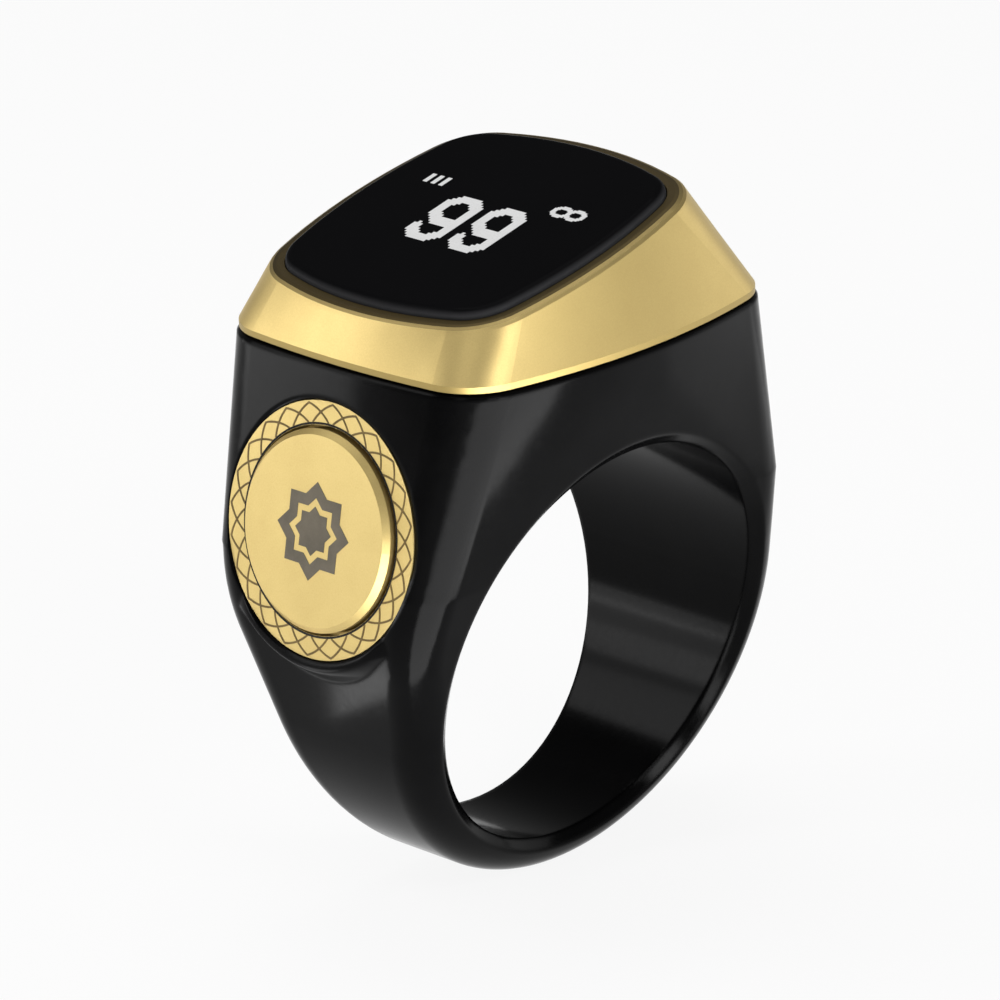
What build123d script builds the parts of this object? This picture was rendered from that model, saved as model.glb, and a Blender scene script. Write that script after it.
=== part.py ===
"""Finger-ring digital tasbih counter: body, gold bezel, tilted display, side button and the works inside.

Origin at the centre of the finger hole, finger axis along Y, head up along Z, button towards -X.
"""

import os
from math import atan, cos, radians, sin, tan

from build123d import *

# Finger hole and shank
bore_radius = 10.0
shank_bottom_wall = 1.80
shank_side_wall = 2.12
shank_edge_radius = 1.85
shank_flare = 14.0
side_half_width = 5.80
side_taper = 13.4
hole_bevel_radial = 0.6
hole_bevel_depth = 0.45

# Head of the body
head_rise = 5.32
head_length_right = 10.2
head_bow_left = 0.3
head_bow_right = 0.5
head_bow_y = 0.85
head_corner_radius = 3.15
shoulder_height = 5.9
shoulder_length_right = 11.50
shoulder_corner_radius = 1.85
head_lip = 0.12
head_wall = 1.6
button_side_wall = 1.8
ceiling_wall = 1.2
cavity_corner_radius = 2.3

# Button boss on the flank
button_height = 7.95
button_lean = 11.5
pad_x = 12.51
tongue_radius = 6.3
tongue_spread_angle = 34.0
tongue_setback = 0.03
tongue_drop = 0.6
tongue_corner_radius = 3.0
knee_radius = 8.0
tongue_blend_depth = 1.5
tongue_blend_width = 1.0
tongue_blend_steps = 8

# Bezel frame
seam_gap = 0.12
bezel_inset = 0.10
bezel_band = 0.30
bezel_land = 0.36
bezel_edge_radius = 0.6
bezel_edge_turn = 54.0
bezel_edge_steps = 3
bezel_ledge = 0.90
ledge_thickness = 0.9
skirt_wall = 0.8
skirt_clearance = 0.06
gasket_setback = 0.35

# Display stack, measured in the tilted display plane
display_tilt = 12.85
display_rise = 4.29
display_shift = -1.77
lens_bow_x = 0.64
lens_bow_y = 0.46
lens_corner_radius = 2.5
lens_proud = 0.42
lens_seat = 0.75
lens_edge_radius = 0.40
lens_gap = 0.05
bond_thickness = 0.12
gasket_margin = 0.10
panel_length = 11.3
panel_width = 10.6
panel_thickness = 1.1
panel_shift = -0.2
panel_clear_x = 1.45
panel_clear_y = 0.90

# Button works, measured along the button axis inwards from the pad
trim_recess = 0.12
trim_radius = 5.93
trim_bore_radius = 4.82
trim_thickness = 0.75
trim_gap = 0.06
trim_bond = 0.10
trim_shoulder = 0.50
cap_gap = 0.15
cap_proud = 0.45
cap_bevel = 0.26
cap_flange_thickness = 0.30
cap_rest_gap = 0.03
button_travel = 0.25
pocket_end_gap = 0.12
pocket_gap = 0.15
stem_radius = 1.10
stem_gap = 0.05
pocket_floor = 0.62
seal_radius = 2.2
seal_thickness = 0.40
seal_gap = 0.03
stem_tip_gap = 0.02
switch_size = 3.0
switch_stem = 0.33
switch_cover_thickness = 0.12
switch_body = 0.55
switch_floor = 0.10
switch_wall = 0.35
plunger_radius = 0.75
plunger_gap = 0.06
plunger_flange = 0.25
plunger_flange_thickness = 0.15
board_thickness_small = 0.25
switch_board_width = 4.0
switch_board_margin = 0.45
slot_gap = 0.10
flex_thickness = 0.12
switch_flex_width = 2.6

# Main board and what it carries
board_thickness = 0.6
board_gap = 0.20
board_corner_radius = 2.2
post_size = 1.9
processor_size = 3.2
processor_height = 0.8
power_size = 2.5
power_height = 0.6
crystal_length = 2.0
crystal_width = 1.6
crystal_height = 0.5
antenna_length = 4.2
antenna_width = 1.2
antenna_height = 0.9
passive_length = 1.0
passive_width = 0.5
passive_height = 0.4
passive_pitch = 1.1
passive_count = 4
part_margin = 0.5
connector_length = 5.0
connector_width = 1.8
connector_height = 0.8
connector_reach = 2.4
tail_overlap = 1.2
tail_lead_in = 0.2

# Vibration motor
motor_radius = 3.5
motor_height = 2.1
motor_wall = 0.2
motor_tape_thickness = 0.12
motor_shaft_radius = 0.4
motor_shaft_gap = 0.04
motor_rotor_gap = 0.25
motor_edge_gap = 1.9
motor_hub_radius = 0.9

# Battery and charging
battery_length = 10.4
battery_width = 9.6
battery_thickness = 2.4
battery_corner = 0.5
battery_tape_thickness = 0.10
battery_end_gap = 0.5
lead_radius = 0.22
lead_spacing = 2.4
lead_reach = 1.0
pin_radius = 0.8
pin_head_radius = 1.2
pin_head_height = 0.35
pin_recess = 0.10
pin_spacing = 5.2
pin_gap = 0.02
charge_flex_margin = 0.3
strip_setback = 0.5

# Shared by every cut
overrun = 2.0
edge_share = 0.1

# Derived levels and slopes
shank_radius = bore_radius + shank_side_wall
shank_centre_z = shank_radius - bore_radius - shank_bottom_wall
seam_z = bore_radius + head_rise
flare = radians(shank_flare)
taper = radians(side_taper)
tilt = radians(display_tilt)
press = radians(button_lean)
shoulder_z = shoulder_height
floor_z = bore_radius + ceiling_wall
body_bottom_z = -bore_radius - shank_bottom_wall
out_y = side_half_width + seam_z * tan(taper) + overrun

flank_slope = (shoulder_length_right - head_length_right) / (seam_z - shoulder_z)


def flank_x(z):
    """Half length of the plain flank at height z."""
    return head_length_right + (seam_z - z) * flank_slope


def pad_flank_x(z):
    """Half length of the button flank at height z."""
    return pad_x + (button_height - z) * tan(press)


def side_y(z):
    """Half width of the body at height z."""
    return side_half_width + z * tan(taper)


def bowed_side(start, end, bow_x, bow_y):
    """Side of an outline from start to end, its middle pushed out by the bow."""
    if bow_x == 0 and bow_y == 0:
        return Line(start, end)
    middle = ((start[0] + end[0]) / 2 + bow_x, (start[1] + end[1]) / 2 + bow_y)
    return ThreePointArc(start, middle, end)


def outline(left, right, half_y, bow_left, bow_right, bow_y, corner):
    """Rounded rectangle whose sides bow outwards, as a face."""
    x0 = left + bow_left + corner
    x1 = right - bow_right - corner
    y1 = half_y - bow_y - corner
    core = Wire(
        [
            bowed_side((x0, -y1), (x1, -y1), 0, -bow_y),
            bowed_side((x1, -y1), (x1, y1), bow_right, 0),
            bowed_side((x1, y1), (x0, y1), 0, bow_y),
            bowed_side((x0, y1), (x0, -y1), -bow_left, 0),
        ]
    )
    return offset(make_face(core), corner)


def head_outline(z, inset=0):
    """Section of the head at height z: corners and bows grow upwards from the shoulder."""
    rise_share = max(0, (z - shoulder_z) / (seam_z - shoulder_z))
    corner = shoulder_corner_radius + (head_corner_radius - shoulder_corner_radius) * rise_share
    face = outline(
        -pad_flank_x(z) + inset,
        flank_x(z) - inset,
        side_y(z) - inset,
        head_bow_left * rise_share,
        head_bow_right * rise_share,
        head_bow_y * rise_share,
        corner - inset,
    )
    return Pos(0, 0, z) * face


def stack(sections):
    """Ruled solids between neighbouring faces, joined."""
    pieces = [loft([a, b], ruled=True) for a, b in zip(sections, sections[1:])]
    whole = pieces[0]
    for piece in pieces[1:]:
        whole = whole + piece
    return whole


def ring(outer, inner, height):
    """Washer from z 0 up."""
    return extrude(Circle(outer) - Circle(inner), height)


def block(size_x, size_y, size_z):
    """Box standing on z 0."""
    return extrude(Rectangle(size_x, size_y), size_z)


# Frames of the button and of the display
pad_frame = Plane(
    origin=(-pad_x, 0, button_height),
    x_dir=(0, -1, 0),
    z_dir=(-cos(press), 0, sin(press)),
)
display_z = seam_z + display_rise
display_frame = Plane(
    origin=(display_shift, 0, display_z),
    x_dir=(cos(tilt), 0, sin(tilt)),
    z_dir=(-sin(tilt), 0, cos(tilt)),
)


def on_pad(depth, shape):
    """Place a shape in the button frame, depth below the pad."""
    return pad_frame * Pos(0, 0, -depth) * shape


def pad_rod(radius, depth, length):
    """Round bar on the button axis, its inner end at the depth."""
    return on_pad(depth, extrude(Circle(radius), length))


def on_display(height, shape):
    """Place a shape in the display frame."""
    return display_frame * Pos(0, 0, height) * shape


# Body: lower shank, upper head and the tongue that carries the button
side_section = Polyline(
    (-side_y(shoulder_z), shoulder_z),
    (side_y(shoulder_z), shoulder_z),
    (side_y(body_bottom_z - overrun), body_bottom_z - overrun),
    (-side_y(body_bottom_z - overrun), body_bottom_z - overrun),
    close=True,
)
slab = extrude(Plane.YZ * make_face(side_section), pad_x + button_height, both=True)


def arc_about(hub, start, end):
    """Shorter arc from start to end round a hub."""
    middle = hub + (start - hub + end - hub).normalized() * (start - hub).length
    return ThreePointArc(start, middle, end)


def shank_profile():
    """Front view of the shank: round below, flared towards the button, curving into the plain flank."""
    above = shoulder_z - shank_centre_z
    turn = atan(flank_slope)
    right_top = Vector(shoulder_length_right, above)
    reach = right_top.X * cos(turn) + above * sin(turn) - shank_radius
    right_sweep = (right_top.length**2 - shank_radius**2) / (2 * reach)
    right_hub = right_top - Vector(cos(turn), sin(turn)) * right_sweep
    right_low = right_hub * (-shank_radius / right_hub.length)
    left_top = Vector(-pad_flank_x(shoulder_z), above)
    outward = Vector(-cos(flare), -sin(flare))
    down_pad = Vector(-sin(press), -cos(press))
    down_flare = Vector(sin(flare), -cos(flare))
    left_low = outward * shank_radius
    knee = left_top + down_pad * ((shank_radius - left_top.dot(outward)) / down_pad.dot(outward))
    knee_run = knee_radius * tan((press + flare) / 2)
    knee_start = knee - down_pad * knee_run
    knee_end = knee + down_flare * knee_run
    knee_hub = knee_end - outward * knee_radius
    return make_face(
        Wire(
            [
                Line(left_top, knee_start),
                arc_about(knee_hub, knee_start, knee_end),
                Line(knee_end, left_low),
                ThreePointArc(left_low, Vector(0, -shank_radius), right_low),
                arc_about(right_hub, right_low, right_top),
                Line(right_top, left_top),
            ]
        )
    )


shank_front = Plane(origin=(0, 0, shank_centre_z), x_dir=(1, 0, 0), z_dir=(0, -1, 0))
shank_prism = extrude(shank_front * shank_profile(), out_y, both=True)
lower = slab & shank_prism
rim_edges = [e for e in lower.edges() if abs(e.center().Y) > edge_share * side_half_width]
rim_edges = [e for e in rim_edges if e.bounding_box().min.Z < shoulder_z * (1 - edge_share)]
lower = fillet(rim_edges, shank_edge_radius)
upper = stack(
    [
        lower.faces().sort_by(Axis.Z)[-1],
        head_outline(seam_z - head_lip),
        head_outline(seam_z, inset=head_lip),
    ]
)


def tongue(radius):
    """Outline of the button flank: round at the bottom, spreading upwards along tangents."""
    half = radians(tongue_spread_angle)
    x = radius * sin(half)
    y = -radius * cos(half)
    top = seam_z - button_height + overrun
    x_top = x + (top - y) / tan(half)
    return make_face(
        Wire(
            [
                ThreePointArc((-x, y), (0, -radius), (x, y)),
                Line((x, y), (x_top, top)),
                Line((x_top, top), (-x_top, top)),
                Line((-x_top, top), (-x, y)),
            ]
        )
    )


def tongue_outline(z):
    """Section at height z that bounds the tongue, a little inside the flank."""
    left = -pad_flank_x(z) + tongue_setback
    half_y = side_y(z) - tongue_setback
    return Pos(0, 0, z) * outline(left, flank_x(z), half_y, 0, 0, 0, tongue_corner_radius)


blend_sections = []
for step in range(tongue_blend_steps + 1):
    step_share = step / tongue_blend_steps
    depth = tongue_blend_depth * step_share**2 * (3 - 2 * step_share)
    blend_sections.append(on_pad(depth, tongue(tongue_radius + tongue_blend_width * step_share)))
tongue_solid = on_pad(0, extrude(tongue(tongue_radius), overrun)) + loft(blend_sections)
tongue_root = tongue(tongue_radius + tongue_blend_width)
tongue_solid = tongue_solid + on_pad(tongue_blend_depth + overrun, extrude(tongue_root, overrun))
tongue_foot_z = button_height - tongue_radius - tongue_blend_width - overrun
tongue_block = stack([tongue_outline(tongue_foot_z), tongue_outline(shoulder_z - tongue_drop)])
tongue_low = tongue_solid & tongue_block

body = upper + lower + tongue_low

# Finger hole with its bevels
body = body - Rot(90, 0, 0) * Cylinder(bore_radius, 2 * out_y)


def bevel_tool(side):
    """Sheared cone that bevels the hole's rim on one side face."""
    sections = []
    for out, radius in (
        (overrun, bore_radius + hole_bevel_radial * (1 + overrun / hole_bevel_depth)),
        (-hole_bevel_depth, bore_radius),
    ):
        plane = Plane(
            origin=(0, side * (side_half_width + out), 0),
            x_dir=(1, 0, 0),
            z_dir=(0, side * cos(taper), -sin(taper)),
        )
        sections.append(plane * Ellipse(radius, radius / cos(taper)))
    return loft(sections, ruled=True)


for side in (-1, 1):
    body = body - bevel_tool(side)

# Hollow of the head, open at the seam, with corner posts for the board
cavity_left = -pad_flank_x(seam_z) + button_side_wall
cavity_right = flank_x(seam_z) - head_wall


def cavity_outline(z, inset=0):
    """Section of the head's hollow at height z."""
    return Pos(0, 0, z) * outline(
        cavity_left + inset,
        cavity_right - inset,
        side_y(z) - head_wall - inset,
        head_bow_left,
        head_bow_right,
        head_bow_y,
        cavity_corner_radius - inset,
    )


cavity_mouth = cavity_outline(seam_z)
cavity = stack([cavity_outline(floor_z), cavity_mouth, Pos(0, 0, overrun) * cavity_mouth])
board_z = floor_z + battery_tape_thickness + flex_thickness + battery_thickness + board_gap
board_top_z = board_z + board_thickness
skirt_depth = seam_z - board_top_z
cavity_mid = (cavity_left + cavity_right) / 2
cavity_half_x = (cavity_right - cavity_left) / 2
posts = []
for sx in (-1, 1):
    for sy in (-1, 1):
        px = cavity_mid + sx * (cavity_half_x + (head_wall - post_size) / 2)
        py = sy * (side_y(floor_z) - head_wall + (head_wall - post_size) / 2)
        post = block(post_size + head_wall, post_size + head_wall, board_z - floor_z)
        posts.append(Pos(px, py, floor_z) * post)
cavity = cavity - posts
body = body - cavity

# Recess, pocket and slot for the button
trim_depth = trim_recess + trim_thickness + trim_bond
pocket_radius = trim_radius - trim_shoulder
cap_radius = trim_bore_radius - cap_gap
flange_radius = pocket_radius - pocket_gap
flange_top = trim_recess + trim_thickness + cap_rest_gap
flange_bottom = flange_top + cap_flange_thickness
pocket_depth = flange_bottom + button_travel + pocket_end_gap
stem_end = pocket_depth + pocket_floor + stem_tip_gap
switch_cover_depth = stem_end + stem_tip_gap + switch_stem
switch_base_depth = switch_cover_depth + switch_cover_thickness + switch_body
switch_back_depth = switch_base_depth + board_thickness_small
slot_depth = switch_back_depth + slot_gap
board_low = switch_size / 2 + switch_board_margin
body = body - pad_rod(trim_radius + trim_gap, trim_depth, trim_depth + overrun)
body = body - pad_rod(pocket_radius, pocket_depth, pocket_depth)
seal_depth = pocket_depth + seal_thickness
body = body - pad_rod(seal_radius + seal_gap, seal_depth, seal_thickness + overrun / 2)
body = body - pad_rod(stem_radius + stem_gap, slot_depth, slot_depth)
slot_top = (seam_z - skirt_depth - button_height) / cos(press)
slot_low = board_low + slot_gap
slot = Pos(0, (slot_top - slot_low) / 2, 0) * block(
    switch_board_width + 2 * slot_gap, slot_top + slot_low, slot_depth - pocket_depth - pocket_floor
)
body = body - on_pad(slot_depth, slot)

# Holes for the charging pins
pin_places = [Pos(0, side * pin_spacing / 2, 0) for side in (-1, 1)]
for place in pin_places:
    pin_hole = extrude(Circle(pin_radius + pin_gap), ceiling_wall + overrun)
    body = body - place * Pos(0, 0, bore_radius - overrun) * pin_hole
    head_hole = extrude(Circle(pin_head_radius + pin_gap), pin_head_height + overrun / 4)
    body = body - place * Pos(0, 0, floor_z - pin_head_height) * head_hole

# Bezel frame and the lens outline that it follows
lens_half_x = panel_width / 2 + panel_clear_x + bezel_ledge
lens_half_y = panel_length / 2 + panel_clear_y + bezel_ledge


def lens_outline(grow):
    """Outline of the cover glass, grown by a margin, in the display plane."""
    return outline(
        -lens_half_x - grow,
        lens_half_x + grow,
        lens_half_y + grow,
        lens_bow_x,
        lens_bow_x,
        lens_bow_y,
        lens_corner_radius + grow,
    )


bezel_foot = Pos(0, 0, seam_gap) * head_outline(seam_z, inset=bezel_inset)
bezel_sections = [bezel_foot, Pos(0, 0, bezel_band) * bezel_foot]
for step in range(bezel_edge_steps, -1, -1):
    turn = radians(bezel_edge_turn * step / bezel_edge_steps)
    rim = lens_gap + bezel_land + bezel_edge_radius * sin(turn)
    bezel_sections.append(on_display(-bezel_edge_radius * (1 - cos(turn)), lens_outline(rim)))
bezel = stack(bezel_sections)
skirt_inset = skirt_clearance + skirt_depth * tan(taper)
skirt_foot = Pos(0, 0, -skirt_depth) * cavity_outline(seam_z, inset=skirt_inset)
skirt = extrude(skirt_foot, skirt_depth + seam_gap + bezel_band)
bezel = bezel + skirt
ledge_depth = lens_seat + bond_thickness + ledge_thickness
hollow_foot = Pos(0, 0, -skirt_depth) * cavity_outline(seam_z, inset=skirt_inset + skirt_wall)
ledge_face = lens_outline(-bezel_ledge)
hollow = stack([Pos(0, 0, -overrun) * hollow_foot, hollow_foot, on_display(-ledge_depth, ledge_face)])
opening = on_display(-ledge_depth, extrude(ledge_face, ledge_depth + overrun))
seat_depth = lens_seat + bond_thickness
seat = on_display(-seat_depth, extrude(lens_outline(lens_gap), seat_depth + overrun))
bezel = bezel - hollow - opening - seat

gasket_face = head_outline(seam_z, inset=gasket_setback)
gasket = extrude(gasket_face, seam_gap) - extrude(cavity_mouth, seam_gap + overrun, both=True)

# Display stack
lens = extrude(lens_outline(0), lens_proud + lens_seat)
lens = fillet(lens.faces().sort_by(Axis.Z)[-1].edges(), lens_edge_radius)
lens = on_display(-lens_seat, lens)
lens_gasket = on_display(
    -seat_depth,
    extrude(lens_outline(-gasket_margin) - ledge_face, bond_thickness),
)
panel_face = Pos(panel_shift, 0, 0) * Rectangle(panel_width, panel_length)
optical_adhesive = on_display(-seat_depth, extrude(panel_face, bond_thickness))
panel_back = seat_depth + panel_thickness
oled_panel = on_display(-panel_back, extrude(panel_face, panel_thickness))

# Main board and its components
board = Pos(cavity_mid, 0, board_z) * extrude(
    RectangleRounded(
        2 * (cavity_half_x - head_bow_right - board_gap),
        2 * (side_y(board_z) - head_wall - head_bow_y - board_gap),
        board_corner_radius,
    ),
    board_thickness,
)
board_left = cavity_left + head_bow_right + board_gap
board_right = cavity_right - head_bow_right - board_gap
board_half_y = side_y(board_z) - head_wall - head_bow_y - board_gap


def on_board(x, y, shape):
    """Place a component on the board's upper face."""
    return Pos(x, y, board_top_z) * shape


connector_x = board_left + part_margin + connector_reach
chip_x = connector_x + connector_width / 2 + part_margin + processor_size / 2
chip_y = board_half_y - part_margin - antenna_width - part_margin - processor_size / 2
connector = on_board(connector_x, 0, block(connector_width, connector_length, connector_height))
processor = on_board(chip_x, chip_y, block(processor_size, processor_size, processor_height))
power_chip = on_board(chip_x, -chip_y, block(power_size, power_size, power_height))
crystal_y = connector_length / 2 + part_margin + crystal_length / 2
crystal = on_board(connector_x, crystal_y, block(crystal_width, crystal_length, crystal_height))
antenna_y = board_half_y - part_margin - antenna_width / 2
antenna = on_board(chip_x, antenna_y, block(antenna_length, antenna_width, antenna_height))
passives = Compound(
    children=[
        on_board(
            chip_x + (k - (passive_count - 1) / 2) * passive_pitch,
            -antenna_y,
            block(passive_width, passive_length, passive_height),
        )
        for k in range(passive_count)
    ]
)

# Flexible tail from the back of the panel, bent round to its connector
tail_back = panel_back + flex_thickness / 2
panel_edge = panel_shift - panel_width / 2


def display_point(x, depth):
    """Point of the display frame in the plane y 0, as X and Z."""
    point = display_frame.from_local_coords((x, 0, -depth))
    return (point.X, point.Z)


tail_z = board_top_z + connector_height / 2
tail_end = (connector_x - connector_width / 2, tail_z)
bend_x = (tail_end[0] - tail_lead_in - display_shift - tail_back * sin(tilt)) / cos(tilt)
tail_start = display_point(panel_edge + tail_overlap, tail_back)
tail_bend = display_point(bend_x, tail_back)
tail_turn = (tail_bend[0], tail_z)
tail_lead = Line(tail_start, tail_bend)
tail_arc = TangentArc(tail_bend, tail_turn, tangent=tail_lead % 1)
tail_run = Line(tail_turn, tail_end)
tail_strip = trace([tail_lead, tail_arc, tail_run], flex_thickness)
display_flex = extrude(Plane.XZ * tail_strip, connector_length / 2 - part_margin / 2, both=True)
display_flex = display_flex - oled_panel - connector

# Vibration motor: a cup with its cover, a fixed shaft and an off-centre rotor
motor_x = board_right - motor_edge_gap - motor_radius
motor_floor = board_top_z + motor_tape_thickness
motor_inner = motor_radius - motor_wall
motor_room = motor_height - 2 * motor_wall


def on_motor(height, shape):
    """Place a shape on the motor's axis, above the motor's underside."""
    return Pos(motor_x, 0, motor_floor + height) * shape


motor_tape = Pos(motor_x, 0, board_top_z) * extrude(Circle(motor_inner), motor_tape_thickness)
motor_case = on_motor(0, extrude(Circle(motor_radius), motor_wall)) + on_motor(
    0, ring(motor_radius, motor_inner, motor_height - motor_wall)
)
motor_cover = on_motor(motor_height - motor_wall, extrude(Circle(motor_radius), motor_wall))
motor_shaft = on_motor(motor_wall, extrude(Circle(motor_shaft_radius), motor_room))
rotor_radius = motor_inner - motor_rotor_gap
half_disc = Circle(rotor_radius) - Pos(rotor_radius, 0, 0) * Rectangle(2 * rotor_radius, 2 * rotor_radius)
rotor_face = half_disc + Circle(motor_hub_radius) - Circle(motor_shaft_radius + motor_shaft_gap)
motor_rotor = on_motor(motor_wall + motor_rotor_gap, extrude(rotor_face, motor_room - 2 * motor_rotor_gap))

# Battery on its tape, its two leads, and the charging strip that runs under it
strip_x = board_right - strip_setback
battery_right = strip_x - battery_end_gap
battery_x = battery_right - battery_length / 2
tape_z = floor_z + flex_thickness
battery_z = tape_z + battery_tape_thickness
battery_tape = Pos(battery_x, 0, tape_z) * block(battery_length, battery_width, battery_tape_thickness)
battery = Pos(battery_x, 0, battery_z) * extrude(
    RectangleRounded(battery_length, battery_width, battery_corner), battery_thickness
)
lead_z = battery_z + battery_thickness / 2
lead_x = battery_x - battery_length / 2
leads = []
for side in (-1, 1):
    y = side * lead_spacing / 2
    route = FilletPolyline(
        (lead_x, y, lead_z),
        (lead_x - lead_reach, y, lead_z),
        (lead_x - lead_reach, y, board_z),
        radius=2 * lead_radius,
    )
    lead_start = Plane(origin=(lead_x, y, lead_z), z_dir=(-1, 0, 0))
    leads.append(sweep(lead_start * Circle(lead_radius), path=route))
battery_leads = Compound(children=leads)

pin_length = ceiling_wall - pin_recess
pin_head = extrude(Circle(pin_head_radius), pin_head_height)
pin_shape = extrude(Circle(pin_radius), pin_length) + Pos(0, 0, pin_length - pin_head_height) * pin_head
pin_shape = Pos(0, 0, bore_radius + pin_recess) * pin_shape
charge_pins = Compound(children=[place * pin_shape for place in pin_places])
strip_left = -pin_head_radius - charge_flex_margin
strip_width = pin_spacing + 2 * (pin_head_radius + charge_flex_margin)
strip_length = strip_x - strip_left
charge_flex = Pos((strip_left + strip_x) / 2, 0, floor_z) * block(strip_length, strip_width, flex_thickness)
charge_flex = charge_flex + Pos(strip_x - flex_thickness / 2, 0, floor_z) * block(
    flex_thickness, strip_width, board_z - floor_z
)

# Button works
trim_ring = on_pad(trim_recess + trim_thickness, ring(trim_radius, trim_bore_radius, trim_thickness))
trim_adhesive = on_pad(trim_depth, ring(trim_radius, pocket_radius, trim_bond))
cap_top = trim_recess - cap_proud
cap_head = extrude(Circle(cap_radius), flange_top - cap_top)
cap_head = chamfer(cap_head.faces().sort_by(Axis.Z)[-1].edges(), cap_bevel)
button_cap = (
    on_pad(flange_top, cap_head)
    + pad_rod(flange_radius, flange_bottom, cap_flange_thickness)
    + pad_rod(stem_radius, stem_end, stem_end - flange_bottom)
)
button_seal = on_pad(seal_depth, ring(seal_radius, stem_radius + seal_gap, seal_thickness))

cover_hole = plunger_radius + plunger_gap
switch_cover = on_pad(
    switch_cover_depth + switch_cover_thickness,
    extrude(Rectangle(switch_size, switch_size) - Circle(cover_hole), switch_cover_thickness),
)
well = switch_size - 2 * switch_wall
switch_base = on_pad(switch_base_depth, block(switch_size, switch_size, switch_body)) - on_pad(
    switch_base_depth - switch_floor, block(well, well, switch_body)
)
plunger_top = stem_end + stem_tip_gap
plunger_flange_top = switch_cover_depth + switch_cover_thickness + stem_tip_gap
plunger_end = plunger_flange_top + plunger_flange_thickness
switch_plunger = pad_rod(plunger_radius, plunger_end, plunger_end - plunger_top)
plunger_foot = pad_rod(plunger_radius + plunger_flange, plunger_end, plunger_flange_thickness)
switch_plunger = switch_plunger + plunger_foot
switch_board = on_pad(switch_back_depth, block(switch_board_width, 2 * board_low, board_thickness_small))
flex_end = (board_z - button_height + switch_base_depth * sin(press)) / cos(press)
switch_flex = on_pad(
    switch_base_depth + flex_thickness,
    Pos(0, (flex_end + board_low) / 2, 0) * block(switch_flex_width, flex_end - board_low, flex_thickness),
)

parts = {
    "ring_body": body,
    "bezel_frame": bezel,
    "bezel_gasket": gasket,
    "display_lens": lens,
    "lens_gasket": lens_gasket,
    "optical_adhesive": optical_adhesive,
    "oled_panel": oled_panel,
    "display_flex": display_flex,
    "display_connector": connector,
    "main_board": board,
    "processor_chip": processor,
    "power_chip": power_chip,
    "clock_crystal": crystal,
    "chip_antenna": antenna,
    "board_passives": passives,
    "motor_tape": motor_tape,
    "motor_case": motor_case,
    "motor_cover": motor_cover,
    "motor_shaft": motor_shaft,
    "motor_rotor": motor_rotor,
    "battery_cell": battery,
    "battery_tape": battery_tape,
    "battery_leads": battery_leads,
    "charge_pins": charge_pins,
    "charge_flex": charge_flex,
    "button_trim_ring": trim_ring,
    "trim_adhesive": trim_adhesive,
    "button_cap": button_cap,
    "button_seal": button_seal,
    "switch_cover": switch_cover,
    "switch_base": switch_base,
    "switch_plunger": switch_plunger,
    "switch_board": switch_board,
    "switch_flex": switch_flex,
}

os.makedirs("parts", exist_ok=True)
for name, shape in parts.items():
    export_step(shape, f"parts/{name}.step")
    print(name, len(shape.solids()), round(shape.volume, 2), shape.is_valid)
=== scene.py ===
import math

import bmesh
import bpy
from mathutils import Matrix, Vector


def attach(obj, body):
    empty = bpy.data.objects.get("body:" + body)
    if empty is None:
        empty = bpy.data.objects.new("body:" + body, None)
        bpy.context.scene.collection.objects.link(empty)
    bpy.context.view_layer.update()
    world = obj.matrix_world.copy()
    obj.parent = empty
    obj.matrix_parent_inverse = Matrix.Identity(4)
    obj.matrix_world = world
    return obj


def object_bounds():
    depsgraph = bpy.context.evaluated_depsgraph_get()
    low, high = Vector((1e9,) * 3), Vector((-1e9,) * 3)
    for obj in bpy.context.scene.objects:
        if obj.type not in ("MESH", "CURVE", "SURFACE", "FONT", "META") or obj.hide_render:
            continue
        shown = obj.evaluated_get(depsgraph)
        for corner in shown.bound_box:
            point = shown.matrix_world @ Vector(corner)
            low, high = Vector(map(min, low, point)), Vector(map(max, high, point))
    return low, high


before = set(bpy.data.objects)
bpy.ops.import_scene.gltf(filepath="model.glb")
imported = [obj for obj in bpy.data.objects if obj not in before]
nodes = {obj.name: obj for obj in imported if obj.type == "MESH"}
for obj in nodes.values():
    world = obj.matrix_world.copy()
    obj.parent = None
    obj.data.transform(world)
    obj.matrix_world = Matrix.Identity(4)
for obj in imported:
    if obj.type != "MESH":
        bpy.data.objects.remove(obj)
cad_low, cad_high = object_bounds()

MM = 0.001
ROOT = "counter_body"
BUTTON = "push_button"
SKYWARD = (0, 0, 1)
WHITE = (1.0, 1.0, 1.0, 1.0)

# Button frame: the pad's centre, its outward normal and its up direction, as in the solids
PAD_LEAN = math.radians(11.5)
PAD_CENTRE = Vector((-12.51, 0, 7.95))
PAD_OUT = Vector((-math.cos(PAD_LEAN), 0, math.sin(PAD_LEAN)))
PAD_RIGHT = Vector((0, -1, 0))
PAD_UP = PAD_OUT.cross(PAD_RIGHT)
TRIM_RECESS = 0.12
TRIM_BORE = 4.82
CAP_PROUD = 0.45

# Display frame: centre of the cover glass at the bezel's land, tilted about Y
TILT = math.radians(12.85)
LENS_CENTRE = Vector((-1.77, 0, 19.61))
LENS_OUT = Vector((-math.sin(TILT), 0, math.cos(TILT)))
LENS_UP = Vector((math.cos(TILT), 0, math.sin(TILT)))
LENS_RIGHT = Vector((0, -1, 0))
LENS_PROUD = 0.42

# Camera of the photograph
CAM_BACK = Vector((-0.660341, -0.663498, 0.351728))
CAM_RIGHT = Vector((0.698980, -0.714279, -0.035121))
CAM_UP = Vector((0.274536, 0.222656, 0.935444))
CAM_DISTANCE = 313.295
CAM_SHIFT_RIGHT = 0.804
CAM_SHIFT_UP = -5.391
CAM_FOCAL_PX = 6687.343
CAM_NEAREST_M = 0.01
CAM_FURTHEST_M = 20.0
IMAGE_PX = 1000
SENSOR_MM = 36.0


# Node helpers


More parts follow.
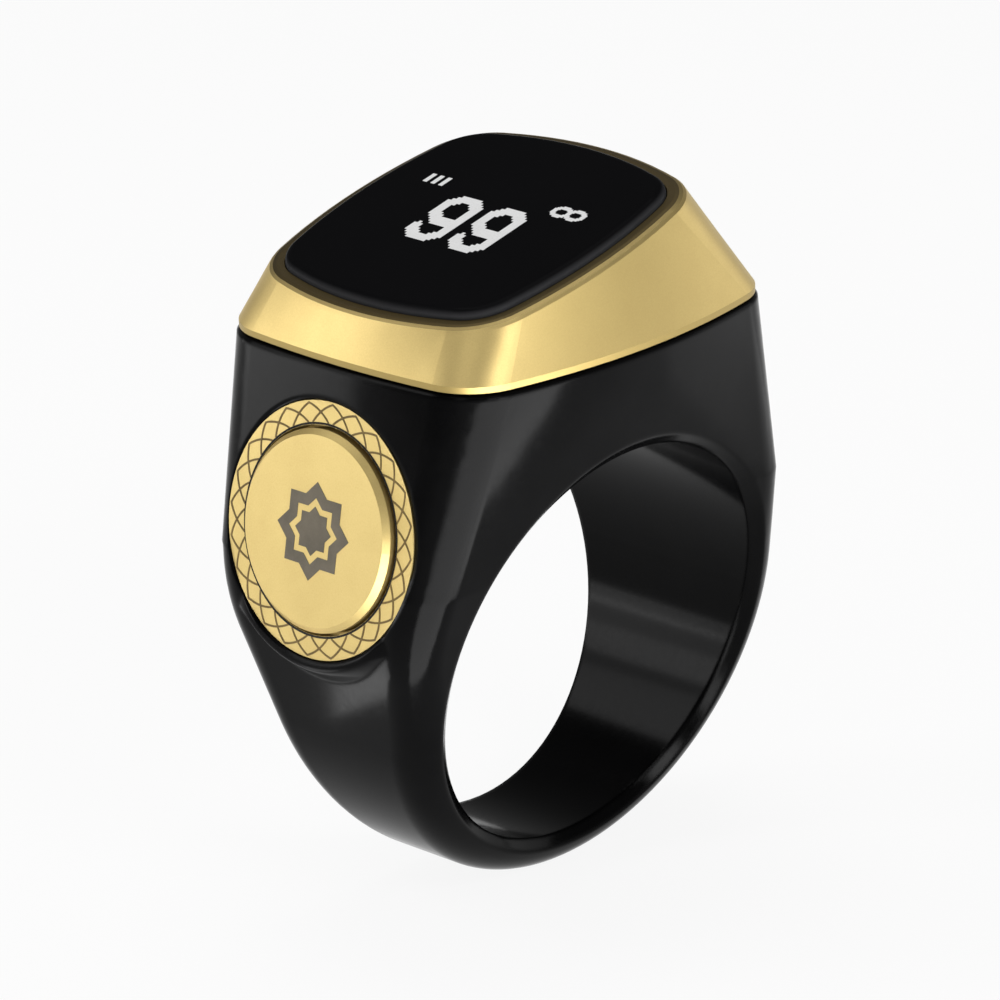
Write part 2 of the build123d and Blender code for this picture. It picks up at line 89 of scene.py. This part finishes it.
def new_material(name):
    mat = bpy.data.materials.new(name)
    mat.use_nodes = True
    tree = mat.node_tree
    tree.nodes.clear()
    out = tree.nodes.new("ShaderNodeOutputMaterial")
    bsdf = tree.nodes.new("ShaderNodeBsdfPrincipled")
    tree.links.new(bsdf.outputs["BSDF"], out.inputs["Surface"])
    return mat, tree, bsdf


def surface_of(mat):
    """The surface shader of a material."""
    return next(n for n in mat.node_tree.nodes if n.type == "BSDF_PRINCIPLED")


def object_coords(tree, per_mm):
    """Object coordinates, in which one unit is 1/per_mm of a millimetre."""
    coord = tree.nodes.new("ShaderNodeTexCoord")
    mapping = tree.nodes.new("ShaderNodeMapping")
    mapping.inputs["Scale"].default_value = (per_mm / MM,) * 3
    tree.links.new(coord.outputs["Object"], mapping.inputs["Vector"])
    return mapping.outputs["Vector"]


def noise(tree, per_mm, detail, rough=0.6):
    node = tree.nodes.new("ShaderNodeTexNoise")
    node.inputs["Scale"].default_value = 1.0
    node.inputs["Detail"].default_value = detail
    node.inputs["Roughness"].default_value = rough
    tree.links.new(object_coords(tree, per_mm), node.inputs["Vector"])
    return node.outputs["Fac"]


def map_range(tree, value, span, to_span=(0, 1)):
    """A value that runs over one span, mapped to another and held at its ends."""
    node = tree.nodes.new("ShaderNodeMapRange")
    node.inputs["From Min"].default_value, node.inputs["From Max"].default_value = span
    node.inputs["To Min"].default_value, node.inputs["To Max"].default_value = to_span
    tree.links.new(value, node.inputs["Value"])
    return node.outputs["Result"]


def math_node(tree, operation, first, second):
    """A math node; its second input is a socket or a plain number."""
    node = tree.nodes.new("ShaderNodeMath")
    node.operation = operation
    tree.links.new(first, node.inputs[0])
    if hasattr(second, "default_value"):
        tree.links.new(second, node.inputs[1])
    else:
        node.inputs[1].default_value = second
    return node.outputs[0]


def along(tree, vector, direction):
    """How far a vector points in a direction."""
    node = tree.nodes.new("ShaderNodeVectorMath")
    node.operation = "DOT_PRODUCT"
    node.inputs[1].default_value = direction
    tree.links.new(vector, node.inputs[0])
    return node.outputs["Value"]


def facing(tree, direction, span):
    """0 where the surface turns away from a direction, 1 where it faces it."""
    geometry = tree.nodes.new("ShaderNodeNewGeometry")
    return map_range(tree, along(tree, geometry.outputs["Normal"], direction), span)


def colour_mix(tree, factor, a, b):
    """From colour a at factor 0 to colour b at factor 1; each is a socket or three numbers."""
    node = tree.nodes.new("ShaderNodeMix")
    node.data_type = "RGBA"
    for socket, value in ((node.inputs[6], a), (node.inputs[7], b)):
        if hasattr(value, "default_value"):
            tree.links.new(value, socket)
        else:
            socket.default_value = (*value, 1.0)
    tree.links.new(factor, node.inputs[0])
    return node.outputs[2]


def bump(tree, bsdf, height, depth_mm):
    node = tree.nodes.new("ShaderNodeBump")
    node.inputs["Strength"].default_value = 1.0
    node.inputs["Distance"].default_value = depth_mm * MM
    tree.links.new(height, node.inputs["Height"])
    tree.links.new(node.outputs["Normal"], bsdf.inputs["Normal"])
    return node


# Materials

NOISE_SPAN = (0.3, 0.7)
CLOUD_SHARE = 0.08
CLOUD_DETAIL = 2.0
GRAIN_DETAIL = 3.0
SOFT_SAMPLES = 8
BODY_SOFT_EDGE = 0.35


def grey(value):
    return (value, value, value)


def grained(name, dark, light, rough, per_mm, depth_mm, metallic=0.0, specular=0.5, soft_mm=0.0):
    """Colour and roughness vary a little, and the grain is a fine bump; with soft edges if asked."""
    mat, tree, bsdf = new_material(name)
    cloud = noise(tree, per_mm * CLOUD_SHARE, CLOUD_DETAIL)
    grain = noise(tree, per_mm, GRAIN_DETAIL)
    colour = colour_mix(tree, map_range(tree, cloud, NOISE_SPAN), dark, light)
    tree.links.new(colour, bsdf.inputs["Base Color"])
    tree.links.new(map_range(tree, grain, NOISE_SPAN, rough), bsdf.inputs["Roughness"])
    relief = bump(tree, bsdf, grain, depth_mm)
    if soft_mm:
        soft = tree.nodes.new("ShaderNodeBevel")
        soft.samples = SOFT_SAMPLES
        soft.inputs["Radius"].default_value = soft_mm * MM
        tree.links.new(soft.outputs["Normal"], relief.inputs["Normal"])
    bsdf.inputs["Metallic"].default_value = metallic
    bsdf.inputs["Specular IOR Level"].default_value = specular
    return mat


# Satin gold
GOLD_GRAIN_PER_MM = 14.0
GOLD_GRAIN_DETAIL = 4.0
GOLD_GRAIN_ROUGH = 0.7
GOLD_GRAIN_DEPTH = 0.0016
GOLD_CLOUD_PER_MM = 0.35
GOLD_SPAN = (0.35, 0.65)
GOLD_ROUGH = (0.40, 0.52)
GOLD_SPECK_SHARE = (0, 0.16)
GOLD_SPECK = (0.42, 0.29, 0.105)
# Painted shade: the bezel's lower band, whose faces turn from the sky, is darker
GOLD_BAND_PAINTED_SHADE = (0.36, 0.27, 0.10)
GOLD_BAND_PAINTED_SHADE_SPAN = (0.10, 0.40)
# Painted dark reflection: the flat land round the glass is darker
GOLD_LAND_PAINTED_REFLECTION = (0.075, 0.055, 0.022)
GOLD_LAND_PAINTED_REFLECTION_SPAN = (0.80, 0.97)


def gold_material(name, deep, pale, land=False):
    """Satin gold with a fine blasted grain; with land set, painted shade darkens the lower band whose faces
    turn from the sky, and a painted dark reflection darkens the land round the glass.
    """
    mat, tree, bsdf = new_material(name)
    grain = noise(tree, GOLD_GRAIN_PER_MM, GOLD_GRAIN_DETAIL, GOLD_GRAIN_ROUGH)
    cloud = noise(tree, GOLD_CLOUD_PER_MM, CLOUD_DETAIL)
    tint = colour_mix(tree, map_range(tree, cloud, GOLD_SPAN), deep, pale)
    colour = colour_mix(tree, map_range(tree, grain, GOLD_SPAN, GOLD_SPECK_SHARE), tint, GOLD_SPECK)
    if land:
        # painted shade on the lower band, where faces turn from the sky
        colour = colour_mix(tree, facing(tree, SKYWARD, GOLD_BAND_PAINTED_SHADE_SPAN), GOLD_BAND_PAINTED_SHADE, colour)
        # painted dark reflection on the land round the glass
        colour = colour_mix(tree, facing(tree, LENS_OUT, GOLD_LAND_PAINTED_REFLECTION_SPAN), colour, GOLD_LAND_PAINTED_REFLECTION)
    tree.links.new(colour, bsdf.inputs["Base Color"])
    tree.links.new(map_range(tree, grain, NOISE_SPAN, GOLD_ROUGH), bsdf.inputs["Roughness"])
    bump(tree, bsdf, grain, GOLD_GRAIN_DEPTH)
    bsdf.inputs["Metallic"].default_value = 1.0
    return mat


# Cover glass, with a painted highlight on its rounded edge
GLASS_EDGE_PAINTED_HIGHLIGHT = (0.036, 0.036, 0.038)
GLASS_EDGE_PAINTED_HIGHLIGHT_SPAN = (0.35, 0.85)


def paint_edge_highlight(mat, direction, span, edge):
    """Paler colour where a surface turns away from a direction: a painted highlight on the rounded glass
    edge.
    """
    tree = mat.node_tree
    base = surface_of(mat).inputs["Base Color"]
    inner = base.links[0].from_socket
    tree.links.new(colour_mix(tree, facing(tree, direction, span), edge, inner), base)


# Each grained material: dark and light colour, span of roughness, grains per millimetre, grain's depth
BLACK = grained(
    "body_gloss_black", (0.0012, 0.0012, 0.0013), (0.0019, 0.0019, 0.0020), (0.11, 0.16), 4.0, 0.0003,
    specular=0.05, soft_mm=BODY_SOFT_EDGE,
)
GASKET = grained("seal_rubber", grey(0.004), grey(0.008), (0.55, 0.75), 12.0, 0.002, specular=0.2)
# The button's gold is a darker copy of the bezel's gold: painted shade that keeps the lamps from washing out
# the cap and trim
GOLD = gold_material("gold_satin", (0.525, 0.402, 0.16), (0.565, 0.438, 0.178))
GOLD_BEZEL = gold_material("gold_satin_bezel", (0.64, 0.49, 0.198), (0.68, 0.525, 0.215), land=True)
LENS = grained(
    "cover_glass_black", (0.0042, 0.0042, 0.0046), (0.0052, 0.0052, 0.0057), (0.03, 0.07), 0.5, 0.0002,
    specular=0.004,
)
# painted highlight along the glass's rounded edge
paint_edge_highlight(LENS, LENS_OUT, GLASS_EDGE_PAINTED_HIGHLIGHT_SPAN, GLASS_EDGE_PAINTED_HIGHLIGHT)
PANEL = grained("panel_glass", (0.01, 0.01, 0.014), (0.02, 0.02, 0.03), (0.08, 0.16), 2.0, 0.0005)
BOND = grained("optical_bond", grey(0.6), grey(0.7), (0.1, 0.2), 2.0, 0.0005)
FLEX = grained("polyimide_flex", (0.42, 0.16, 0.02), (0.55, 0.24, 0.05), (0.3, 0.45), 6.0, 0.001)
CREAM = grained("moulded_cream", (0.62, 0.56, 0.45), (0.74, 0.68, 0.57), (0.4, 0.6), 8.0, 0.002)
BOARD = grained("solder_mask", (0.008, 0.07, 0.03), (0.015, 0.11, 0.05), (0.3, 0.45), 6.0, 0.002)
CHIP = grained("chip_package", grey(0.012), grey(0.025), (0.5, 0.7), 14.0, 0.003)
STEEL = grained("stamped_steel", grey(0.5), (0.62, 0.62, 0.61), (0.25, 0.4), 9.0, 0.001, metallic=1.0)
WEIGHT = grained("rotor_weight", (0.4, 0.37, 0.31), (0.5, 0.46, 0.38), (0.3, 0.45), 9.0, 0.001, metallic=1.0)
FOIL = grained("cell_foil", (0.55, 0.56, 0.58), (0.68, 0.69, 0.7), (0.3, 0.5), 3.0, 0.01, metallic=0.8)
LEAD = grained("lead_sleeve", (0.35, 0.01, 0.01), (0.5, 0.03, 0.02), (0.4, 0.5), 6.0, 0.002)
PIN = grained("plated_pin", (0.72, 0.5, 0.17), (0.83, 0.61, 0.26), (0.15, 0.28), 9.0, 0.001, metallic=1.0)

NODE_MATERIALS = {
    "ring_body": BLACK,
    "bezel_frame": GOLD_BEZEL,
    "bezel_gasket": GASKET,
    "display_lens": LENS,
    "lens_gasket": GASKET,
    "optical_adhesive": BOND,
    "oled_panel": PANEL,
    "display_flex": FLEX,
    "display_connector": CREAM,
    "main_board": BOARD,
    "processor_chip": CHIP,
    "power_chip": CHIP,
    "clock_crystal": STEEL,
    "chip_antenna": CREAM,
    "board_passives": CREAM,
    "motor_tape": GASKET,
    "motor_case": STEEL,
    "motor_cover": STEEL,
    "motor_shaft": STEEL,
    "motor_rotor": WEIGHT,
    "battery_cell": FOIL,
    "battery_tape": GASKET,
    "battery_leads": LEAD,
    "charge_pins": PIN,
    "charge_flex": FLEX,
    "button_trim_ring": GOLD,
    "trim_adhesive": GASKET,
    "button_cap": GOLD,
    "button_seal": GASKET,
    "switch_cover": STEEL,
    "switch_base": CHIP,
    "switch_plunger": CREAM,
    "switch_board": BOARD,
    "switch_flex": FLEX,
}
for node_name, obj in nodes.items():
    obj.data.materials.clear()
    obj.data.materials.append(NODE_MATERIALS[node_name])


# Thin raised marks

MARK_GRAIN_PER_MM = 10.0
MARK_GRAIN_DEPTH = 0.001
PIXEL_GLOW = 0.40


def mark_material(name, dark, light, rough, metallic=0.0):
    return grained(name, dark, light, rough, MARK_GRAIN_PER_MM, MARK_GRAIN_DEPTH, metallic=metallic)


PIXEL = mark_material("lit_pixels", grey(0.30), grey(0.34), (0.4, 0.55))
surface_of(PIXEL).inputs["Emission Color"].default_value = WHITE
surface_of(PIXEL).inputs["Emission Strength"].default_value = PIXEL_GLOW
LINE = mark_material("etched_line", (0.11, 0.07, 0.015), (0.17, 0.11, 0.03), (0.5, 0.65), metallic=0.3)
MOTIF = mark_material("etched_motif", (0.085, 0.072, 0.05), (0.12, 0.10, 0.07), (0.45, 0.6), metallic=0.4)


def mesh_object(name, bm, material, body):
    mesh = bpy.data.meshes.new(name)
    bmesh.ops.recalc_face_normals(bm, faces=bm.faces)
    bm.to_mesh(mesh)
    bm.free()
    obj = bpy.data.objects.new(name, mesh)
    bpy.context.scene.collection.objects.link(obj)
    mesh.materials.append(material)
    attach(obj, body)


def raised(bm, outline, place, height):
    """A flat prism on a surface: its outline in millimetres, place(x, y, z) gives the point in metres."""
    low = [bm.verts.new(place(x, y, 0.0)) for x, y in outline]
    high = [bm.verts.new(place(x, y, height)) for x, y in outline]
    bm.faces.new(high)
    bm.faces.new(list(reversed(low)))
    count = len(outline)
    for k in range(count):
        j = (k + 1) % count
        bm.faces.new((low[k], low[j], high[j], high[k]))


def on_trim(x, y, z):
    return (PAD_CENTRE + PAD_RIGHT * x + PAD_UP * y + PAD_OUT * (z - TRIM_RECESS)) * MM


def on_cap(x, y, z):
    return on_trim(x, y, z + CAP_PROUD)


def on_lens(right, up, z):
    """Text on the glass runs towards -Y, its top towards +X."""
    return (LENS_CENTRE + LENS_UP * up + LENS_RIGHT * right + LENS_OUT * (z + LENS_PROUD)) * MM


def on_circle(radius, angle):
    return (radius * math.cos(angle), radius * math.sin(angle))


# Display: two nines and a double loop of lit pixels, and three bars

PIXEL_PITCH = 0.1747
PIXEL_FILL = 0.96
PIXEL_HEIGHT = 0.012
NINE_COLUMNS = 13
NINE_ROWS = 23
NINE_HALF_STROKE = 1.65
NINE_RIGHTS = (-2.49, 0.28)
NINE_UP = -2.57
LOOP_COLUMNS = 23
LOOP_ROWS = 11
LOOP_HALF_STROKE = 1.25
LOOP_PITCH = PIXEL_PITCH / 2
LOOP_RIGHT = 2.98
LOOP_UP = 1.70
BARS = 3
BARS_RIGHT = -4.98
BARS_UP = 1.75
BAR_PITCH = 0.50
BAR_WIDTH = 0.25
BAR_HEIGHT = 0.75


def near_path(x, y, path):
    """Distance from a point to a polyline."""
    gaps = []
    for (x0, y0), (x1, y1) in zip(path, path[1:]):
        dx, dy = x1 - x0, y1 - y0
        t = max(0.0, min(1.0, ((x - x0) * dx + (y - y0) * dy) / (dx * dx + dy * dy)))
        gaps.append(math.hypot(x - x0 - t * dx, y - y0 - t * dy))
    return min(gaps)


def nine_paths():
    """Strokes of a nine with cut corners and a hook, in pixels."""
    left, right = 1.5, 11.5
    low, mid, top = 1.5, 10.0, 21.5
    cut, hook = 3.2, 1.2
    stem = [(left + cut, top), (right - cut, top), (right, top - cut), (right, low + cut), (right - cut, low)]
    stem += [(left + cut, low), (left, low + cut), (left, low + cut + hook)]
    loop = [(left + cut, top), (left, top - cut), (left, mid + cut), (left + cut, mid), (right, mid)]
    return [stem, loop]


def loop_paths():
    """Two rounded loops side by side, in half pixels."""
    left, mid, right = 1.5, 11.5, 21.5
    low, top, cut = 1.6, 9.4, 2.6
    loops = []
    for x0, x1 in ((left, mid), (mid, right)):
        loop = [(x0, low + cut), (x0, top - cut), (x0 + cut, top), (x1 - cut, top), (x1, top - cut)]
        loop += [(x1, low + cut), (x1 - cut, low), (x0 + cut, low), (x0, low + cut)]
        loops.append(loop)
    return loops


def lit(paths, half_stroke, columns, rows):
    """The cells of a grid whose middles lie within half a stroke of a path."""
    cells = []
    for column in range(columns):
        for row in range(rows):
            if any(near_path(column + 0.5, row + 0.5, path) <= half_stroke for path in paths):
                cells.append((column, row))
    return cells


def rectangle(bm, right, up, width, height):
    corners = [(right, up), (right + width, up), (right + width, up + height), (right, up + height)]
    raised(bm, corners, on_lens, PIXEL_HEIGHT)


nine = lit(nine_paths(), NINE_HALF_STROKE, NINE_COLUMNS, NINE_ROWS)
double_loop = lit(loop_paths(), LOOP_HALF_STROKE, LOOP_COLUMNS, LOOP_ROWS)
glyphs = [(nine, right, NINE_UP, PIXEL_PITCH) for right in NINE_RIGHTS]
glyphs.append((double_loop, LOOP_RIGHT, LOOP_UP, LOOP_PITCH))
bm_pixels = bmesh.new()
for cells, right, up, pitch in glyphs:
    side = pitch * PIXEL_FILL
    for column, row in cells:
        rectangle(bm_pixels, right + column * pitch, up + row * pitch, side, side)
for bar in range(BARS):
    rectangle(bm_pixels, BARS_RIGHT + bar * BAR_PITCH, BARS_UP, BAR_WIDTH, BAR_HEIGHT)
mesh_object("display_pixels", bm_pixels, PIXEL, ROOT)

# Trim ring: a lattice of overlapping pointed petals, whose arms cross at two heights

PETALS = 24
PETAL_TIP = 5.82
PETAL_SLOPE = 0.65
PETAL_BEND = 0.38
PETAL_REACH = 0.89
PETAL_STEPS = 8
LINE_WIDTH = 0.10
LINE_HEIGHT = 0.012
LINE_LOW_HEIGHT = 0.0096
LINE_OVERLAP = 0.02
PETAL_PITCH = 2 * math.pi / PETALS


def petal_radius(share):
    """Radius along a petal's arm: share 0 at the tip, 1 one petal further."""
    return PETAL_TIP - PETAL_SLOPE * share - PETAL_BEND * share**2


def petal_arm(petal, turn):
    """Points along one arm of a petal, from its tip down; turn is -1 or 1."""
    points = []
    for step in range(PETAL_STEPS + 1):
        share = PETAL_REACH * step / PETAL_STEPS
        angle = math.pi / 2 + (petal + turn * share) * PETAL_PITCH
        points.append(Vector(on_circle(petal_radius(share), angle)))
    return points


bm_lines = bmesh.new()
for petal in range(PETALS):
    for turn, height in ((-1, LINE_LOW_HEIGHT), (1, LINE_HEIGHT)):
        points = petal_arm(petal, turn)
        for a, b in zip(points, points[1:]):
            ahead = (b - a).normalized()
            across = Vector((-ahead.y, ahead.x)) * LINE_WIDTH / 2
            start = a - ahead * LINE_OVERLAP
            end = b + ahead * LINE_OVERLAP
            quad = [start - across, end - across, end + across, start + across]
            raised(bm_lines, quad, on_trim, height)
mesh_object("trim_lattice", bm_lines, LINE, ROOT)

# Trim ring: a dark line round its bore, a painted shadow of the gap round the cap

GAP_SETBACK = 0.01
GAP_WIDTH = 0.10
GAP_STEPS = 96
GAP_INNER = TRIM_BORE + GAP_SETBACK
GAP_OUTER = GAP_INNER + GAP_WIDTH
bm_gap_shadow = bmesh.new()
for step in range(GAP_STEPS):
    start = 2 * math.pi * step / GAP_STEPS
    end = 2 * math.pi * (step + 1) / GAP_STEPS
    quad = [on_circle(GAP_INNER, start), on_circle(GAP_OUTER, start)]
    quad += [on_circle(GAP_OUTER, end), on_circle(GAP_INNER, end)]
    raised(bm_gap_shadow, quad, on_trim, LINE_HEIGHT)
# painted shadow of the gap, in the seal's dark rubber
mesh_object("trim_gap_painted_shadow", bm_gap_shadow, GASKET, ROOT)

# Button cap: a generic star, as two squares laid across each other make it

STAR_OUTER = 2.3
STAR_INNER = 1.55
STAR_CORE = 1.15
STAR_HEIGHT = 0.014
STAR_POINTS = 8
STAR_CORNERS = 2 * STAR_POINTS
STAR_NOTCH = math.cos(math.radians(45)) / math.cos(math.radians(22.5))


def star(radius):
    """Corners of a star, its tips and notches in turn."""
    radii = [radius, radius * STAR_NOTCH] * STAR_POINTS
    return [on_circle(r, k * math.pi / STAR_POINTS) for k, r in enumerate(radii)]


bm_star = bmesh.new()
outer, inner = star(STAR_OUTER), star(STAR_INNER)
for k in range(STAR_CORNERS):
    j = (k + 1) % STAR_CORNERS
    raised(bm_star, [outer[k], outer[j], inner[j], inner[k]], on_cap, STAR_HEIGHT)
raised(bm_star, star(STAR_CORE), on_cap, STAR_HEIGHT)
mesh_object("cap_star", bm_star, MOTIF, BUTTON)

# Floor: white to the eye and in reflections, with the part's shadow on it

FLOOR_HALF_M = 4.0
FLOOR_GREY = 0.86
FLOOR_GLOW_SHARE = 0.90
floor_corners = [(-1, -1), (1, -1), (1, 1), (-1, 1)]
bm_floor = bmesh.new()
bm_floor.faces.new(
    [bm_floor.verts.new((x * FLOOR_HALF_M, y * FLOOR_HALF_M, cad_low[2])) for x, y in floor_corners]
)
floor_mesh = bpy.data.meshes.new("floor")
bm_floor.to_mesh(floor_mesh)
bm_floor.free()
floor = bpy.data.objects.new("floor", floor_mesh)
bpy.context.scene.collection.objects.link(floor)


def seen_ray(tree):
    """1 for camera, glossy and transmission rays, 0 for the rest."""
    rays = tree.nodes.new("ShaderNodeLightPath").outputs
    direct = math_node(tree, "MAXIMUM", rays["Is Camera Ray"], rays["Is Glossy Ray"])
    return math_node(tree, "MAXIMUM", direct, rays["Is Transmission Ray"])


floor_mat = bpy.data.materials.new("pale_floor")
floor_mat.use_nodes = True
tree = floor_mat.node_tree
tree.nodes.clear()
floor_out = tree.nodes.new("ShaderNodeOutputMaterial")
diffuse = tree.nodes.new("ShaderNodeBsdfDiffuse")
diffuse.inputs["Color"].default_value = (*grey(FLOOR_GREY), 1.0)
glow = tree.nodes.new("ShaderNodeEmission")
glow.inputs["Color"].default_value = WHITE
glow.inputs["Strength"].default_value = 1.0
blend = tree.nodes.new("ShaderNodeMixShader")
tree.links.new(math_node(tree, "MULTIPLY", seen_ray(tree), FLOOR_GLOW_SHARE), blend.inputs[0])
tree.links.new(diffuse.outputs[0], blend.inputs[1])
tree.links.new(glow.outputs[0], blend.inputs[2])
tree.links.new(blend.outputs[0], floor_out.inputs["Surface"])
floor_mesh.materials.append(floor_mat)

# Room: dim, a little brighter on the button's side and darker overhead

ROOM_BRIGHT_SIDE = (-0.7, 0.7, 0.0)
ROOM_SIDE_SPAN = (-0.7, 0.8)
ROOM_SIDE_LEVELS = (0.22, 0.26)
ROOM_UP_SPAN = (0.3, 0.8)
ROOM_UP_LEVELS = (1.0, 0.5)
world = bpy.data.worlds.new("studio")
bpy.context.scene.world = world
world.use_nodes = True
tree = world.node_tree
tree.nodes.clear()
world_out = tree.nodes.new("ShaderNodeOutputWorld")
outlook = tree.nodes.new("ShaderNodeTexCoord").outputs["Generated"]
sideways = map_range(tree, along(tree, outlook, ROOM_BRIGHT_SIDE), ROOM_SIDE_SPAN, ROOM_SIDE_LEVELS)
upwards = map_range(tree, along(tree, outlook, SKYWARD), ROOM_UP_SPAN, ROOM_UP_LEVELS)
room = tree.nodes.new("ShaderNodeBackground")
room.inputs["Color"].default_value = WHITE
tree.links.new(math_node(tree, "MULTIPLY", sideways, upwards), room.inputs["Strength"])
tree.links.new(room.outputs[0], world_out.inputs["Surface"])


# Lamps

VIEW_RIGHT = Vector((0.7055, -0.7087, 0.0))
VIEW_NEAR = Vector((VIEW_RIGHT.y, -VIEW_RIGHT.x, 0.0))
CARD_Z = -11.0
CARD_TURN = math.radians(8.8)
CARD_RIGHT = VIEW_RIGHT * math.cos(CARD_TURN) + VIEW_NEAR * math.sin(CARD_TURN)
CARD_DOWN = Vector((0, 0, -1))
WATTS_PER_RADIANCE = 4

# Name, place, target and size in millimetres, and watts
PANELS = (
    ("left_strip", (-131, 213, 8.5), (0, 0, 8.5), (177, 33), 0.092),
    ("left_panel", (-162, 190, 102), (0, 0, 102), (93, 84), 0.052),
    ("high_panel", (-140, 207, 252), (0, 0, 252), (106, 215), 0.27),
    ("bore_panel", (-144, 139, 51.5), (0, 0, 51.5), (35, 83), 0.035),
    ("right_panel", (226, -105, 40), (0, 0, 40), (105, 90), 0.052),
    ("front_panel", (-36, -217, 151), (-8, -8, 16), (95, 62), 0.155),
    ("rim_panel", (0, -198, 33), (6, -4, -8.5), (44, 34), 0.05),
    ("upper_panel", (-155, -45, 205), (-9, -7, 17), (60, 60), 0.035),
    ("top", (60, 80, 340), (0, 0, 10), (220, 220), 0.5),
)

# Name, place to the right in the picture and towards the camera, first side, size in millimetres, radiance
CARDS = (
    ("front_card", 34.8, 102.5, CARD_RIGHT, (110, 150), 6.2),
    ("corner_card", 41.1, 22.2, CARD_RIGHT, (30, 10), 6.2),
    ("right_card", 62, -22, CARD_RIGHT, (38, 40), 0.45),
    ("left_card", -28, 9, VIEW_RIGHT, (16, 7), 4.0),
)


def area_lamp(name, place_mm, turn, size_mm, watts):
    """A rectangular lamp that lights and reflects, and that the camera doesn't see."""
    lamp = bpy.data.lights.new(name, "AREA")
    lamp.shape = "RECTANGLE"
    lamp.size, lamp.size_y = size_mm[0] * MM, size_mm[1] * MM
    lamp.energy = watts
    obj = bpy.data.objects.new(name, lamp)
    bpy.context.scene.collection.objects.link(obj)
    obj.matrix_world = Matrix.Translation(Vector(place_mm) * MM) @ turn.to_4x4()
    obj.visible_camera = False


for name, place, target, size, watts in PANELS:
    aim = Vector(target) - Vector(place)
    area_lamp(name, place, aim.to_track_quat("-Z", "Y").to_matrix(), size, watts)

# The cards lie level just over the floor and face up
for name, right, near, side, size, radiance in CARDS:
    place = VIEW_RIGHT * right + VIEW_NEAR * near
    place.z = CARD_Z
    turn = Matrix((side.normalized(), CARD_DOWN.cross(side.normalized()), CARD_DOWN)).transposed()
    area_lamp(name, place, turn, size, radiance * WATTS_PER_RADIANCE * size[0] * size[1] * MM**2)

# Camera

camera = bpy.data.cameras.new("photo_camera")
camera.sensor_width = SENSOR_MM
camera.lens = CAM_FOCAL_PX / IMAGE_PX * SENSOR_MM
camera.clip_start = CAM_NEAREST_M
camera.clip_end = CAM_FURTHEST_M
cam = bpy.data.objects.new("photo_camera", camera)
bpy.context.scene.collection.objects.link(cam)
eye = (CAM_BACK * CAM_DISTANCE - CAM_RIGHT * CAM_SHIFT_RIGHT - CAM_UP * CAM_SHIFT_UP) * MM
axes = Matrix((CAM_RIGHT, CAM_UP, CAM_BACK)).transposed().to_4x4()
cam.matrix_world = Matrix.Translation(eye) @ axes
bpy.context.scene.camera = cam
bpy.context.scene.view_settings.view_transform = "Standard"
